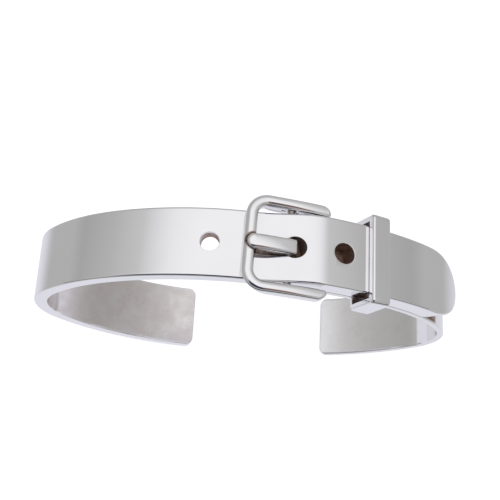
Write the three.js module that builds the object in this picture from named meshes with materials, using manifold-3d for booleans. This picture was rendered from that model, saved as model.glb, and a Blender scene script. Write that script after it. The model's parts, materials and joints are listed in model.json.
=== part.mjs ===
// Open belt-style cuff bracelet in polished silver.
// Millimetres, +Z up. It stands as an arch on the ends of its band, with the buckle on top.
// X runs along the belt at the buckle, Y runs across the belt, and the origin is on the
// standing plane, under the middle of the box around the cuff.

import * as THREE from 'three';
import { mergeVertices } from 'three/addons/utils/BufferGeometryUtils.js';
import Module from 'manifold-3d';

// ---- belt ----
const BELT_WIDTH = 10;
const BELT_THICK = 2.0;
const TIP_THICK = 2.8;
const BAND_THICK = 0.95;
const LAYER_GAP = 0.15;

// The outline of the cuff, as arcs of [turn at the arc's end in degrees, radius], counted
// from the top of the arch down each side.
const LEFT_ARCS = [[31, 35.7], [57, 26.6], [128, 12.4], [180, 32.0]];
const RIGHT_ARCS = [[31, 48.5], [57, 27.3], [128, 11.1], [180, 35.2]];
const LEFT_END_TURN = 174.7;
const RIGHT_END_TURN = 157.6;
const END_CORNER = 1.2;

// The belt climbs from the band's level on to the second layer between these two places.
// All places along the belt are arc lengths from the top of the arch, plus to the right.
const CLIMB_START = 2.5;
const CLIMB_END = 11.5;
const SCARF_START = 1.2;
const SCARF_STEP = 0.5;
const TIP_START = 30.0;
const TIP_END = 37.2;

// ---- holes ----
const LEFT_HOLE_AT = -4.35;
const LEFT_HOLE_RADIUS = 1.35;
const RIGHT_HOLE_AT = 13.95;
const RIGHT_HOLE_RADIUS = 1.5;
const KEYHOLE_AT = 7.15;
const KEYHOLE_RADIUS = 1.55;
const SLOT_HALF_WIDTH = 1.3;
const SLOT_END = 2.0;

// ---- buckle hinge ----
const HINGE_AT = 6.7;
const HINGE_HEIGHT = -0.35;
const BAR_RADIUS = 0.5;
const BAR_CLEARANCE = 0.15;
const BAR_SINK = 0.9;
const SADDLE_HALF_LENGTH = 1.1;
const SADDLE_CLEARANCE = 0.15;
const EYE_ROOM = 0.15;
const LEFT_BAR_BOTTOM = 0.1;
const RAIL_END_ROUND = 0.9;
const RELIEF_LENGTH = 1.4;

// ---- buckle frame, seen in its own plane with the hinge at x = 0 ----
const FRAME_TILT = 8.8;
const FRAME_ASKEW = -1.8;
const FRAME_LEFT = -6.75;
const FRAME_RIGHT = 5.4;
const FRAME_HALF_WIDTH = 7.0;
const LEFT_BAR_WIDTH = 1.6;
const RAIL_WIDTH = 1.55;
const FRAME_BOTTOM = -0.9;
const FRAME_TOP = 1.55;
const FRAME_CORNER = 3.1;
const FRAME_INNER_CORNER = 2.0;
const RAIL_END_CORNER = 1.4;

// ---- tongue, in the same plane ----
const TONGUE_WIDTH = 2.1;
const TONGUE_SHIFT = -0.12;
const EYE_OUTER = 1.05;
const EYE_INNER = 0.65;
const TONGUE_HEEL = 0.65;
const TONGUE_HEEL_TOP = 2.1;
const TONGUE_TOP = 2.4;
const TONGUE_HEEL_ROUND = 0.4;
const TONGUE_HEEL_SOFTEN = 0.5;
const TONGUE_ARCH = 0.35;
const TONGUE_TIP = -6.5;
const TONGUE_TIP_TOP = 2.45;
const TONGUE_TIP_SOFTEN = 0.5;
const TONGUE_TIP_EDGE = 0.25;
const TONGUE_THROAT = -2.6;
const TONGUE_THROAT_ANGLE = 2.69;
const TONGUE_REST_GAP = 0.1;

// ---- keeper loop ----
const KEEPER_AT = 19.15;
const KEEPER_LENGTH = 3.0;
const KEEPER_HALF_WIDTH = 6.6;
const KEEPER_WALL = 0.95;
const KEEPER_FLOOR = 0.5;
const KEEPER_CORNER = 0.7;

const ARC_STEP = 2.5;
const CLIMB_STEP = 0.75;
const SHARP_STEP = 0.002;
const ROUND_SEGMENTS = 40;
const END_STEPS = 8;
const CURVE_SEGMENTS = 12;
const BAR_SEGMENTS = 32;
const KEEPER_SEGMENTS = 6;
const REACH = 8;
const CUT_MARGIN = 1;

const rad = THREE.MathUtils.degToRad;
const wasm = await Module();
wasm.setup();

// ---------- solids ----------

function toSolid(geometry) {
  const bare = geometry.clone();
  bare.deleteAttribute('normal');
  bare.deleteAttribute('uv');
  const merged = mergeVertices(bare, 1e-4);
  const mesh = new wasm.Mesh({
    numProp: 3,
    vertProperties: new Float32Array(merged.attributes.position.array),
    triVerts: new Uint32Array(merged.index.array),
  });
  return new wasm.Manifold(mesh);
}

function toGeometry(solid) {
  const mesh = solid.getMesh();
  const geometry = new THREE.BufferGeometry();
  geometry.setAttribute('position', new THREE.BufferAttribute(mesh.vertProperties, 3));
  geometry.setIndex(new THREE.BufferAttribute(mesh.triVerts, 1));
  geometry.computeVertexNormals();
  return geometry;
}

// A side view, drawn in x and z, extruded evenly to both sides of y = 0.
function sideExtrusion(shape, width) {
  const geometry = new THREE.ExtrudeGeometry(shape, {
    depth: width,
    bevelEnabled: false,
    curveSegments: CURVE_SEGMENTS,
  });
  const upright = new THREE.Matrix4().makeBasis(
    new THREE.Vector3(1, 0, 0),
    new THREE.Vector3(0, 0, 1),
    new THREE.Vector3(0, -1, 0),
  );
  upright.setPosition(0, width / 2, 0);
  return geometry.applyMatrix4(upright);
}

// ---------- the cuff's outline ----------

// Point on the outline, moved outwards by height, after turning turn radians (plus = right).
function outlinePoint(turn, height) {
  const side = turn < 0 ? -1 : 1;
  const arcs = turn < 0 ? LEFT_ARCS : RIGHT_ARCS;
  const angle = Math.abs(turn);
  let x = 0;
  let z = 0;
  let start = 0;
  for (const [endDegrees, radius] of arcs) {
    const end = Math.min(angle, rad(endDegrees));
    if (end > start) {
      x += radius * (Math.sin(end) - Math.sin(start));
      z += radius * (Math.cos(end) - Math.cos(start));
      start = end;
    }
  }
  x += height * Math.sin(angle);
  z += height * Math.cos(angle);
  return new THREE.Vector2(side * x, z);
}

// Arc length along the outline to a turn, and back.
function lengthAt(turn) {
  const arcs = turn < 0 ? LEFT_ARCS : RIGHT_ARCS;
  const angle = Math.abs(turn);
  let length = 0;
  let start = 0;
  for (const [endDegrees, radius] of arcs) {
    const end = Math.min(angle, rad(endDegrees));
    if (end > start) {
      length += radius * (end - start);
      start = end;
    }
  }
  return Math.sign(turn) * length;
}

function turnAt(length) {
  const arcs = length < 0 ? LEFT_ARCS : RIGHT_ARCS;
  let left = Math.abs(length);
  let start = 0;
  for (const [endDegrees, radius] of arcs) {
    const arcLength = radius * (rad(endDegrees) - start);
    if (left <= arcLength) {
      return Math.sign(length) * (start + left / radius);
    }
    left -= arcLength;
    start = rad(endDegrees);
  }
  return Math.sign(length) * start;
}

// ---------- layer heights above the outline ----------

function climb(length) {
  return THREE.MathUtils.smoothstep(length, CLIMB_START, CLIMB_END);
}

const TIP_TOP = TIP_THICK + LAYER_GAP + BAND_THICK - BELT_THICK;

function beltTop(length) {
  return TIP_TOP * climb(length);
}

function beltBottom(length) {
  if (length < SCARF_START) {
    return -BELT_THICK;
  }
  const scarf = THREE.MathUtils.smoothstep(length, SCARF_START, CLIMB_END);
  return -BELT_THICK + SCARF_STEP + (BAND_THICK + LAYER_GAP - SCARF_STEP) * scarf;
}

function bandTop(length) {
  return beltBottom(length) - LAYER_GAP;
}

function bandBottom() {
  return -BELT_THICK;
}

// A strip of the cuff between two lengths, with its two faces at the given heights. The
// climb is drawn in finer steps, with a step in the underside where the scarf starts.
function strip(from, to, top, bottom) {
  const turns = [turnAt(from), turnAt(to)];
  for (let turn = turnAt(from) + rad(ARC_STEP); turn < turnAt(to); turn += rad(ARC_STEP)) {
    turns.push(turn);
  }
  for (let length = CLIMB_START; length <= CLIMB_END; length += CLIMB_STEP) {
    turns.push(turnAt(length));
  }
  turns.push(turnAt(SCARF_START - SHARP_STEP), turnAt(SCARF_START + SHARP_STEP));
  const kept = turns.filter((turn) => turn >= turnAt(from) && turn <= turnAt(to));
  kept.sort((one, other) => one - other);
  const spaced = kept.filter((turn, index) => index === 0 || turn - kept[index - 1] > 1e-6);
  const upper = spaced.map((turn) => outlinePoint(turn, top(lengthAt(turn))));
  const lower = spaced.map((turn) => outlinePoint(turn, bottom(lengthAt(turn))));
  const shape = new THREE.Shape([...upper, ...lower.reverse()]);
  return toSolid(sideExtrusion(shape, BELT_WIDTH));
}

// Matrix whose x runs along the belt, y across it and z out of it, at a length and height.
function beltFrame(length, height) {
  const turn = turnAt(length);
  const point = outlinePoint(turn, height);
  const matrix = new THREE.Matrix4().makeBasis(
    new THREE.Vector3(Math.cos(turn), 0, -Math.sin(turn)),
    new THREE.Vector3(0, 1, 0),
    new THREE.Vector3(Math.sin(turn), 0, Math.cos(turn)),
  );
  return matrix.setPosition(point.x, 0, point.y);
}

// A prism with a plan outline in the belt's plane, between two heights at a length.
function beltPrism(shape, length, low, high) {
  const geometry = new THREE.ExtrudeGeometry(shape, {
    depth: high - low,
    bevelEnabled: false,
    curveSegments: ROUND_SEGMENTS,
  });
  geometry.applyMatrix4(beltFrame(length, low));
  return toSolid(geometry);
}

function circleShape(radius) {
  return new THREE.Shape().absarc(0, 0, radius, 0, 2 * Math.PI, false);
}

function boxShape(x0, x1, halfWidth) {
  const shape = new THREE.Shape();
  shape.moveTo(x0, -halfWidth);
  shape.lineTo(x1, -halfWidth);
  shape.lineTo(x1, halfWidth);
  shape.lineTo(x0, halfWidth);
  return shape;
}

const hinge = outlinePoint(turnAt(HINGE_AT), HINGE_HEIGHT);

// A cylinder across the belt, about the hinge axis, which lies slightly askew.
function hingeCylinder(radius, width) {
  const geometry = new THREE.CylinderGeometry(radius, radius, width, BAR_SEGMENTS);
  geometry.rotateZ(rad(FRAME_ASKEW));
  geometry.translate(hinge.x, 0, hinge.y);
  return toSolid(geometry);
}

// What is left outside a band end with two rounded corners; way is +1 for an end on the right.
function endTrim(length, way) {
  const half = BELT_WIDTH / 2;
  const start = Math.PI / 2;
  const trim = new THREE.Shape();
  trim.moveTo(-END_CORNER * way, half + CUT_MARGIN);
  trim.lineTo(-END_CORNER * way, half);
  for (const side of [1, -1]) {
    for (let step = 0; step <= END_STEPS; step += 1) {
      const swept = (step / END_STEPS) * start;
      const angle = side > 0 ? start - swept : -swept;
      const x = way * (END_CORNER * Math.cos(angle) - END_CORNER);
      const y = side * (half - END_CORNER) + END_CORNER * Math.sin(angle);
      trim.lineTo(x, y);
    }
  }
  trim.lineTo(-END_CORNER * way, -half - CUT_MARGIN);
  trim.lineTo(CUT_MARGIN * way, -half - CUT_MARGIN);
  trim.lineTo(CUT_MARGIN * way, half + CUT_MARGIN);
  return beltPrism(trim, length, -REACH / 2, REACH / 2);
}

// What is left outside the belt's rounded tip.
function tipTrim() {
  const half = BELT_WIDTH / 2;
  const middle = (TIP_START + TIP_END) / 2;
  const reach = TIP_END - TIP_START;
  const trim = new THREE.Shape();
  trim.moveTo(-reach / 2, half + CUT_MARGIN);
  for (let step = 0; step <= ROUND_SEGMENTS; step += 1) {
    const angle = Math.PI / 2 - (step / ROUND_SEGMENTS) * Math.PI;
    trim.lineTo(-reach / 2 + reach * Math.cos(angle), half * Math.sin(angle));
  }
  trim.lineTo(-reach / 2, -half - CUT_MARGIN);
  trim.lineTo(reach, -half - CUT_MARGIN);
  trim.lineTo(reach, half + CUT_MARGIN);
  return beltPrism(trim, middle, -REACH, REACH);
}

// ---------- pieces ----------

function beltStrap() {
  const leftEnd = lengthAt(-rad(LEFT_END_TURN));
  let solid = strip(leftEnd, TIP_END, beltTop, beltBottom);
  solid = solid.subtract(endTrim(leftEnd, -1));
  solid = solid.subtract(tipTrim());
  solid = solid.subtract(beltPrism(circleShape(LEFT_HOLE_RADIUS), LEFT_HOLE_AT, -REACH, REACH));
  solid = solid.subtract(beltPrism(circleShape(RIGHT_HOLE_RADIUS), RIGHT_HOLE_AT, -REACH, REACH));
  solid = solid.subtract(beltPrism(circleShape(KEYHOLE_RADIUS), KEYHOLE_AT, -REACH, REACH));
  const slot = boxShape(SLOT_END - KEYHOLE_AT, 0, SLOT_HALF_WIDTH);
  solid = solid.subtract(beltPrism(slot, KEYHOLE_AT, -REACH, REACH));
  solid = solid.subtract(hingeCylinder(BAR_RADIUS + BAR_CLEARANCE, 2 * BELT_WIDTH));
  const saddleHalf = SADDLE_HALF_LENGTH + SADDLE_CLEARANCE;
  const channel = boxShape(-saddleHalf, saddleHalf, BELT_WIDTH);
  return solid.subtract(beltPrism(channel, HINGE_AT, -REACH, HINGE_HEIGHT));
}

function innerBand() {
  const rightEnd = lengthAt(rad(RIGHT_END_TURN));
  const bandStart = SCARF_START + LAYER_GAP;
  let solid = strip(bandStart, rightEnd, bandTop, bandBottom);
  solid = solid.subtract(endTrim(rightEnd, 1));
  const saddle = boxShape(-SADDLE_HALF_LENGTH, SADDLE_HALF_LENGTH, BELT_WIDTH / 2);
  const saddleTop = HINGE_HEIGHT - BAR_CLEARANCE;
  solid = solid.add(beltPrism(saddle, HINGE_AT, bandBottom() + BAND_THICK / 2, saddleTop));
  solid = solid.subtract(hingeCylinder(BAR_RADIUS + BAR_CLEARANCE, 2 * BELT_WIDTH));
  const tongueRoom = boxShape(-2 * EYE_OUTER, 2 * EYE_OUTER, SLOT_HALF_WIDTH);
  const floor = HINGE_HEIGHT - EYE_OUTER - EYE_ROOM;
  return solid.subtract(beltPrism(tongueRoom, HINGE_AT, floor, REACH));
}

// A plan outline in the frame's own plane, between two heights, about the hinge.
function framePrism(shape, low, high) {
  const geometry = new THREE.ExtrudeGeometry(shape, {
    depth: high - low,
    bevelEnabled: false,
    curveSegments: CURVE_SEGMENTS,
  });
  geometry.translate(0, 0, low);
  return toSolid(geometry);
}

function frameOutline() {
  const outline = new THREE.Shape();
  const width = FRAME_HALF_WIDTH;
  const inner = FRAME_HALF_WIDTH - RAIL_WIDTH;
  const innerLeft = FRAME_LEFT + LEFT_BAR_WIDTH;
  const quarter = Math.PI / 2;
  outline.moveTo(FRAME_RIGHT, inner);
  outline.absarc(FRAME_RIGHT - RAIL_END_CORNER, width - RAIL_END_CORNER, RAIL_END_CORNER, 0, quarter);
  outline.absarc(FRAME_LEFT + FRAME_CORNER, width - FRAME_CORNER, FRAME_CORNER, quarter, 2 * quarter);
  outline.absarc(FRAME_LEFT + FRAME_CORNER, FRAME_CORNER - width, FRAME_CORNER, 2 * quarter, 3 * quarter);
  outline.absarc(FRAME_RIGHT - RAIL_END_CORNER, RAIL_END_CORNER - width, RAIL_END_CORNER, -quarter, 0);
  outline.lineTo(FRAME_RIGHT, -inner);
  const cornerX = innerLeft + FRAME_INNER_CORNER;
  const cornerY = inner - FRAME_INNER_CORNER;
  outline.absarc(cornerX, -cornerY, FRAME_INNER_CORNER, 3 * quarter, 2 * quarter, true);
  outline.absarc(cornerX, cornerY, FRAME_INNER_CORNER, 2 * quarter, quarter, true);
  return outline;
}

function barGeometry(radius, length) {
  return new THREE.CylinderGeometry(radius, radius, length, BAR_SEGMENTS);
}

const barHalfLength = FRAME_HALF_WIDTH - RAIL_WIDTH + BAR_SINK;

// Room for the belt under the left bar, and the rounded undersides and ends of the rails.
function frameSideTrim() {
  const trim = new THREE.Shape();
  trim.moveTo(FRAME_LEFT - CUT_MARGIN, FRAME_BOTTOM - CUT_MARGIN);
  trim.lineTo(FRAME_RIGHT + CUT_MARGIN, FRAME_BOTTOM - CUT_MARGIN);
  trim.lineTo(FRAME_RIGHT + CUT_MARGIN, FRAME_TOP + CUT_MARGIN);
  trim.lineTo(FRAME_RIGHT - RAIL_END_ROUND, FRAME_TOP + CUT_MARGIN);
  const high = FRAME_TOP - RAIL_END_ROUND;
  const low = FRAME_BOTTOM + RAIL_END_ROUND;
  trim.absarc(FRAME_RIGHT - RAIL_END_ROUND, high, RAIL_END_ROUND, Math.PI / 2, 0, true);
  trim.absarc(FRAME_RIGHT - RAIL_END_ROUND, low, RAIL_END_ROUND, 0, -Math.PI / 2, true);
  const raised = FRAME_LEFT + LEFT_BAR_WIDTH + FRAME_INNER_CORNER / 2;
  trim.lineTo(raised + RELIEF_LENGTH, FRAME_BOTTOM);
  trim.quadraticCurveTo(raised + RELIEF_LENGTH / 4, FRAME_BOTTOM, raised, LEFT_BAR_BOTTOM);
  trim.lineTo(FRAME_LEFT - CUT_MARGIN, LEFT_BAR_BOTTOM);
  return toSolid(sideExtrusion(trim, 4 * FRAME_HALF_WIDTH));
}

function buckleFrame() {
  let solid = framePrism(frameOutline(), FRAME_BOTTOM, FRAME_TOP);
  solid = solid.subtract(frameSideTrim());
  const socket = toSolid(barGeometry(BAR_RADIUS + BAR_CLEARANCE, 2 * (barHalfLength + BAR_CLEARANCE)));
  return solid.subtract(socket);
}

// Side view of the tongue: an eye round the bar, a heel, an arched arm and a tip on the frame.
function tongueProfile() {
  const rest = FRAME_TOP + TONGUE_REST_GAP;
  const heelAngle = Math.acos(TONGUE_HEEL / EYE_OUTER);
  const middle = TONGUE_TIP / 2;
  const shape = new THREE.Shape();
  shape.moveTo(TONGUE_HEEL, EYE_OUTER * Math.sin(heelAngle));
  shape.lineTo(TONGUE_HEEL, TONGUE_HEEL_TOP - TONGUE_HEEL_SOFTEN);
  const heelX = TONGUE_HEEL - TONGUE_HEEL_SOFTEN;
  shape.quadraticCurveTo(TONGUE_HEEL, TONGUE_HEEL_TOP, heelX, TONGUE_HEEL_TOP);
  const crown = TONGUE_TOP + TONGUE_ARCH;
  shape.quadraticCurveTo(middle, crown, TONGUE_TIP + TONGUE_TIP_SOFTEN, TONGUE_TIP_TOP);
  shape.quadraticCurveTo(TONGUE_TIP, TONGUE_TIP_TOP, TONGUE_TIP, rest + TONGUE_TIP_EDGE);
  shape.lineTo(TONGUE_TIP + TONGUE_TIP_EDGE, rest);
  shape.lineTo(FRAME_LEFT + LEFT_BAR_WIDTH, rest);
  const throatX = EYE_OUTER * Math.cos(TONGUE_THROAT_ANGLE);
  const throatZ = EYE_OUTER * Math.sin(TONGUE_THROAT_ANGLE);
  shape.quadraticCurveTo(TONGUE_THROAT, rest, throatX, throatZ);
  shape.absarc(0, 0, EYE_OUTER, TONGUE_THROAT_ANGLE, 2 * Math.PI + heelAngle, false);
  const eye = new THREE.Path().absarc(0, 0, EYE_INNER, 0, 2 * Math.PI, true);
  shape.holes.push(eye);
  return shape;
}

function tongue() {
  const geometry = sideExtrusion(tongueProfile(), TONGUE_WIDTH);
  const half = TONGUE_WIDTH / 2;
  const plan = new THREE.Shape();
  const heelTurn = TONGUE_HEEL - TONGUE_HEEL_ROUND;
  plan.absarc(heelTurn, TONGUE_HEEL_ROUND - half, TONGUE_HEEL_ROUND, -Math.PI / 2, 0, false);
  plan.absarc(heelTurn, half - TONGUE_HEEL_ROUND, TONGUE_HEEL_ROUND, 0, Math.PI / 2, false);
  plan.lineTo(TONGUE_TIP + half, half);
  plan.absarc(TONGUE_TIP + half, 0, half, Math.PI / 2, 1.5 * Math.PI, false);
  return toSolid(geometry).intersect(framePrism(plan, -REACH, REACH));
}

function roundedBox(halfX, halfY, radius) {
  const shape = new THREE.Shape();
  const quarter = Math.PI / 2;
  shape.absarc(halfX - radius, halfY - radius, radius, 0, quarter);
  shape.absarc(radius - halfX, halfY - radius, radius, quarter, 2 * quarter);
  shape.absarc(radius - halfX, radius - halfY, radius, 2 * quarter, 3 * quarter);
  shape.absarc(halfX - radius, radius - halfY, radius, 3 * quarter, 4 * quarter);
  return shape;
}

const keeperInnerTop = TIP_TOP + LAYER_GAP;
const keeperInnerBottom = -BELT_THICK - LAYER_GAP;

// The keeper's loop, drawn looking along the belt: x is across the belt and y is its height.
function keeper() {
  const outerHigh = keeperInnerTop + KEEPER_WALL;
  const outerLow = keeperInnerBottom - KEEPER_FLOOR;
  const halfHeight = (outerHigh - outerLow) / 2;
  const loop = roundedBox(KEEPER_HALF_WIDTH, halfHeight, KEEPER_CORNER);
  const holeLow = keeperInnerBottom - (outerHigh + outerLow) / 2;
  const holeHigh = keeperInnerTop - (outerHigh + outerLow) / 2;
  const holeHalf = KEEPER_HALF_WIDTH - KEEPER_WALL;
  const hole = new THREE.Path();
  hole.moveTo(-holeHalf, holeLow);
  hole.lineTo(-holeHalf, holeHigh);
  hole.lineTo(holeHalf, holeHigh);
  hole.lineTo(holeHalf, holeLow);
  loop.holes.push(hole);
  const geometry = new THREE.ExtrudeGeometry(loop, {
    depth: KEEPER_LENGTH,
    bevelEnabled: false,
    curveSegments: KEEPER_SEGMENTS,
  });
  geometry.translate(0, (outerHigh + outerLow) / 2, -KEEPER_LENGTH / 2);
  const turn = turnAt(KEEPER_AT);
  const along = new THREE.Vector3(Math.cos(turn), 0, -Math.sin(turn));
  const out = new THREE.Vector3(Math.sin(turn), 0, Math.cos(turn));
  const across = new THREE.Vector3(0, 1, 0);
  const point = outlinePoint(turn, 0);
  const matrix = new THREE.Matrix4().makeBasis(across, out, along);
  matrix.setPosition(point.x, 0, point.y);
  geometry.applyMatrix4(matrix);
  return geometry;
}

// ---------- assembly ----------

const polishedSilver = new THREE.MeshStandardMaterial({
  color: 0xd4d4d8,
  roughness: 0.12,
  metalness: 1,
});
const wornSilver = new THREE.MeshStandardMaterial({
  color: 0xc8c6c4,
  roughness: 0.22,
  metalness: 1,
});

function named(name, geometry, material) {
  const mesh = new THREE.Mesh(geometry, material);
  mesh.name = name;
  return mesh;
}

const cuff = new THREE.Group();
cuff.add(named('belt_strap', toGeometry(beltStrap()), polishedSilver));
cuff.add(named('inner_band', toGeometry(innerBand()), wornSilver));
cuff.add(named('keeper_loop', keeper(), polishedSilver));

// The frame and its bar lie slightly askew on the belt, and the tongue lies straight.
const buckle = new THREE.Group();
buckle.position.set(hinge.x, 0, hinge.y);
buckle.rotation.set(0, rad(FRAME_TILT), rad(FRAME_ASKEW), 'ZYX');
buckle.add(named('buckle_frame', toGeometry(buckleFrame()), polishedSilver));
buckle.add(named('centre_bar', barGeometry(BAR_RADIUS, 2 * barHalfLength), wornSilver));
cuff.add(buckle);

const tongueSeat = new THREE.Group();
tongueSeat.position.set(hinge.x, TONGUE_SHIFT, hinge.y);
tongueSeat.rotation.y = rad(FRAME_TILT);
tongueSeat.add(named('buckle_tongue', toGeometry(tongue()), polishedSilver));
cuff.add(tongueSeat);

// Lean the arch until both of its ends touch the standing plane, then move the middle of
// its box to the origin.
const leftFoot = outlinePoint(-rad(LEFT_END_TURN), 0);
const rightFoot = outlinePoint(rad(RIGHT_END_TURN), bandBottom() + BAND_THICK);
cuff.rotation.y = Math.atan2(rightFoot.y - leftFoot.y, rightFoot.x - leftFoot.x);
cuff.updateMatrixWorld(true);
const box = new THREE.Box3().setFromObject(cuff, true);
cuff.position.set(-(box.min.x + box.max.x) / 2, -(box.min.y + box.max.y) / 2, -box.min.z);

const model = new THREE.Group();
model.add(cuff);

export default model;
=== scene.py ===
import json
import math

import bmesh
import bpy
from bpy.props import FloatProperty, FloatVectorProperty, PointerProperty
from mathutils import Matrix, Vector


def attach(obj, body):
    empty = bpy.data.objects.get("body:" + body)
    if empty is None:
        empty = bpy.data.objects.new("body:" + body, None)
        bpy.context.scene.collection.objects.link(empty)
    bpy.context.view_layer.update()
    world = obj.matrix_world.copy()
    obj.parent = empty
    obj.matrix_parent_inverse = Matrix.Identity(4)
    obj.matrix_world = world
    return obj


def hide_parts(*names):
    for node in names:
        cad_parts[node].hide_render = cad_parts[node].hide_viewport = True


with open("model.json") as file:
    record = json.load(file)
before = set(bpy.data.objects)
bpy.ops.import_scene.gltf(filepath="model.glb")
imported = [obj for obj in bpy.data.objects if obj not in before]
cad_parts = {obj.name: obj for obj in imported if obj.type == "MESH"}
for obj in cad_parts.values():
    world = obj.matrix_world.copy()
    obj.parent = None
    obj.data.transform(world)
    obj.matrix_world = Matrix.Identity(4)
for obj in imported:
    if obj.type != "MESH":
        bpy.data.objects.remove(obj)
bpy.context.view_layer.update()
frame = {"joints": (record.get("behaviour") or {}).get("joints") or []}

bl_info = {
    "name": "Belt cuff",
    "version": (1, 0, 0),
    "blender": (4, 5, 0),
    "location": "3D View > Sidebar > Belt cuff",
    "description": "Silver cuff bracelet shaped like a buckled belt, with a soft studio stage",
    "category": "Object",
}

# Lengths in the modelling functions are millimetres; a finished mesh is scaled to metres.
MM = 0.001

# ---- the cuff's outline: arcs of (turn at the arc's end in degrees, radius) from the top ----
LEFT_ARCS = ((31.0, 35.7), (57.0, 26.6), (128.0, 12.4), (180.0, 32.0))
RIGHT_ARCS = ((31.0, 48.5), (57.0, 27.3), (128.0, 11.1), (180.0, 35.2))
LEFT_END_TURN = 174.7
RIGHT_END_TURN = 157.6
END_CORNER = 1.2

# ---- belt ----
BELT_WIDTH = 10.0
BELT_THICK = 2.0
TIP_RISE = 1.9
BAND_THICK = 0.95
LAYER_GAP = 0.15
CLIMB_START = 2.5
CLIMB_END = 11.5
SCARF_START = 1.2
SCARF_STEP = 0.5
TIP_START = 30.0
TIP_END = 37.2
LEFT_HOLE = (-4.35, 1.35)
RIGHT_HOLE = (13.95, 1.5)
KEYHOLE = (7.15, 1.55)
SLOT_END = 2.0
SLOT_HALF_WIDTH = 1.3

# ---- hinge ----
HINGE_AT = 6.7
HINGE_HEIGHT = -0.35
BAR_RADIUS = 0.5
GROOVE_RADIUS = 0.65
GROOVE_LEVEL = 0.81
CHANNEL_HALF = 1.25
SADDLE_HALF = 1.2
SADDLE_TOP = 1.75
BAND_GROOVE_LEVEL = 1.9
TONGUE_ROOM = (2.1, 0.65)

# ---- buckle, about the hinge ----
FRAME_TILT = 8.8
FRAME_ASKEW = -1.8
FRAME_ARCH = 60.0
FRAME_TAPER = 0.01
FRAME_LEFT_DOME = 0.3
FRAME_RIGHT_DOME = 0.12
FRAME_UNDERCUT = 0.4
RAIL_END_SLANT = 0.5
RAIL_END_REACH = 3.0
FRAME_LEFT = -6.68
FRAME_RIGHT = 5.4
FRAME_HALF_WIDTH = 7.04
FRAME_BOTTOM = -0.9
FRAME_TOP = 1.55
LEFT_BAR_WIDTH = 1.75
LEFT_BAR_BOTTOM = 0.1
RAIL_WIDTH = 1.62
FRAME_CORNER = 3.1
RAIL_END_CORNER = 0.95
BAR_HALF_LENGTH = 6.35
# Lengths along half of the frame's middle line: rail, corner and left bar.
MIDDLE_CORNER = FRAME_CORNER - RAIL_WIDTH / 2.0
RAIL_RUN = FRAME_RIGHT - FRAME_LEFT - FRAME_CORNER
CORNER_RUN = MIDDLE_CORNER * math.pi / 2.0
LEFT_BAR_RUN = FRAME_HALF_WIDTH - FRAME_CORNER

# ---- tongue, about the hinge ----
TONGUE_HALF_WIDTH = 1.05
TONGUE_SHIFT = -0.12
TONGUE_TIP = -6.5
TONGUE_HEEL = 0.58
TONGUE_TOP = 2.32
TONGUE_ARCH = 1.0
TONGUE_DOME = 0.1
TONGUE_TIP_DROP = 0.22
TONGUE_REST_GAP = 0.04
TONGUE_HEEL_TOP = 2.0
EYE_OUTER = 1.05
EYE_INNER = 0.62

# ---- keeper loop ----
KEEPER_AT = 19.15
KEEPER_LENGTH = 3.0
KEEPER_HALF_WIDTH = 6.6
KEEPER_WALL = 0.95
KEEPER_FLOOR = 0.5
KEEPER_CORNER = 0.7

# ---- how tarnished a hollow is; above 1 a painted shadow covers the tarnish ----
PAINTED_SHADOW_LEVEL = 1.9
HOLLOW = 0.9
STAINED = 0.34

# ---- camera, in the cuff's own plane ----
CAMERA_AZIMUTH = math.radians(-15.719)
CAMERA_ELEVATION = math.radians(68.904)
CAMERA_ROLL = math.radians(19.999)
CAMERA_DISTANCE = 125.691
CAMERA_TARGET = Vector((1.427, 0.0, -2.263))
CAMERA_LENS = 65.603


# ---------- the cuff's outline ----------

def arcs_for(value):
    return LEFT_ARCS if value < 0 else RIGHT_ARCS


def turn_at(length):
    """Turn of the outline at an arc length from the top of the arch."""
    left = abs(length)
    start = 0.0
    for end_degrees, radius in arcs_for(length):
        end = math.radians(end_degrees)
        arc = radius * (end - start)
        if left <= arc:
            return math.copysign(start + left / radius, length)
        left -= arc
        start = end
    return math.copysign(start, length)


def length_at(turn):
    """Arc length from the top of the arch at a turn."""
    angle = abs(turn)
    length = 0.0
    start = 0.0
    for end_degrees, radius in arcs_for(turn):
        end = min(angle, math.radians(end_degrees))
        if end > start:
            length += radius * (end - start)
            start = end
    return math.copysign(length, turn)


def outline_point(turn, across, height):
    """Point at a turn, across the belt, and a height above the outline."""
    side = -1.0 if turn < 0 else 1.0
    angle = abs(turn)
    x = height * math.sin(angle)
    z = height * math.cos(angle)
    start = 0.0
    for end_degrees, radius in arcs_for(turn):
        end = min(angle, math.radians(end_degrees))
        if end > start:
            x += radius * (math.sin(end) - math.sin(start))
            z += radius * (math.cos(end) - math.cos(start))
            start = end
    return Vector((side * x, across, z))


LEFT_END = length_at(-math.radians(LEFT_END_TURN))
RIGHT_END = length_at(math.radians(RIGHT_END_TURN))
LEFT_FOOT = outline_point(-math.radians(LEFT_END_TURN), 0.0, 0.0)
RIGHT_FOOT = outline_point(math.radians(RIGHT_END_TURN), 0.0, BAND_THICK - BELT_THICK)
LEAN = math.atan2(RIGHT_FOOT.z - LEFT_FOOT.z, RIGHT_FOOT.x - LEFT_FOOT.x)
LEAN_TURN = Matrix.Rotation(LEAN, 3, "Y")
HINGE = Vector(frame["joints"][0]["pos_m"]) / MM
ARCH_TOP = HINGE - LEAN_TURN @ outline_point(turn_at(HINGE_AT), 0.0, HINGE_HEIGHT)


def place(length, across, height):
    """Where a point of the belt lies on the standing cuff."""
    return ARCH_TOP + LEAN_TURN @ outline_point(turn_at(length), across, height)


def belt_matrix(length):
    """Axes along, across and out of the belt at a length."""
    turn = turn_at(length)
    along = LEAN_TURN @ Vector((math.cos(turn), 0.0, -math.sin(turn)))
    out = LEAN_TURN @ Vector((math.sin(turn), 0.0, math.cos(turn)))
    matrix = Matrix((along, Vector((0.0, 1.0, 0.0)), out)).transposed().to_4x4()
    matrix.translation = place(length, 0.0, 0.0)
    return matrix


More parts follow.
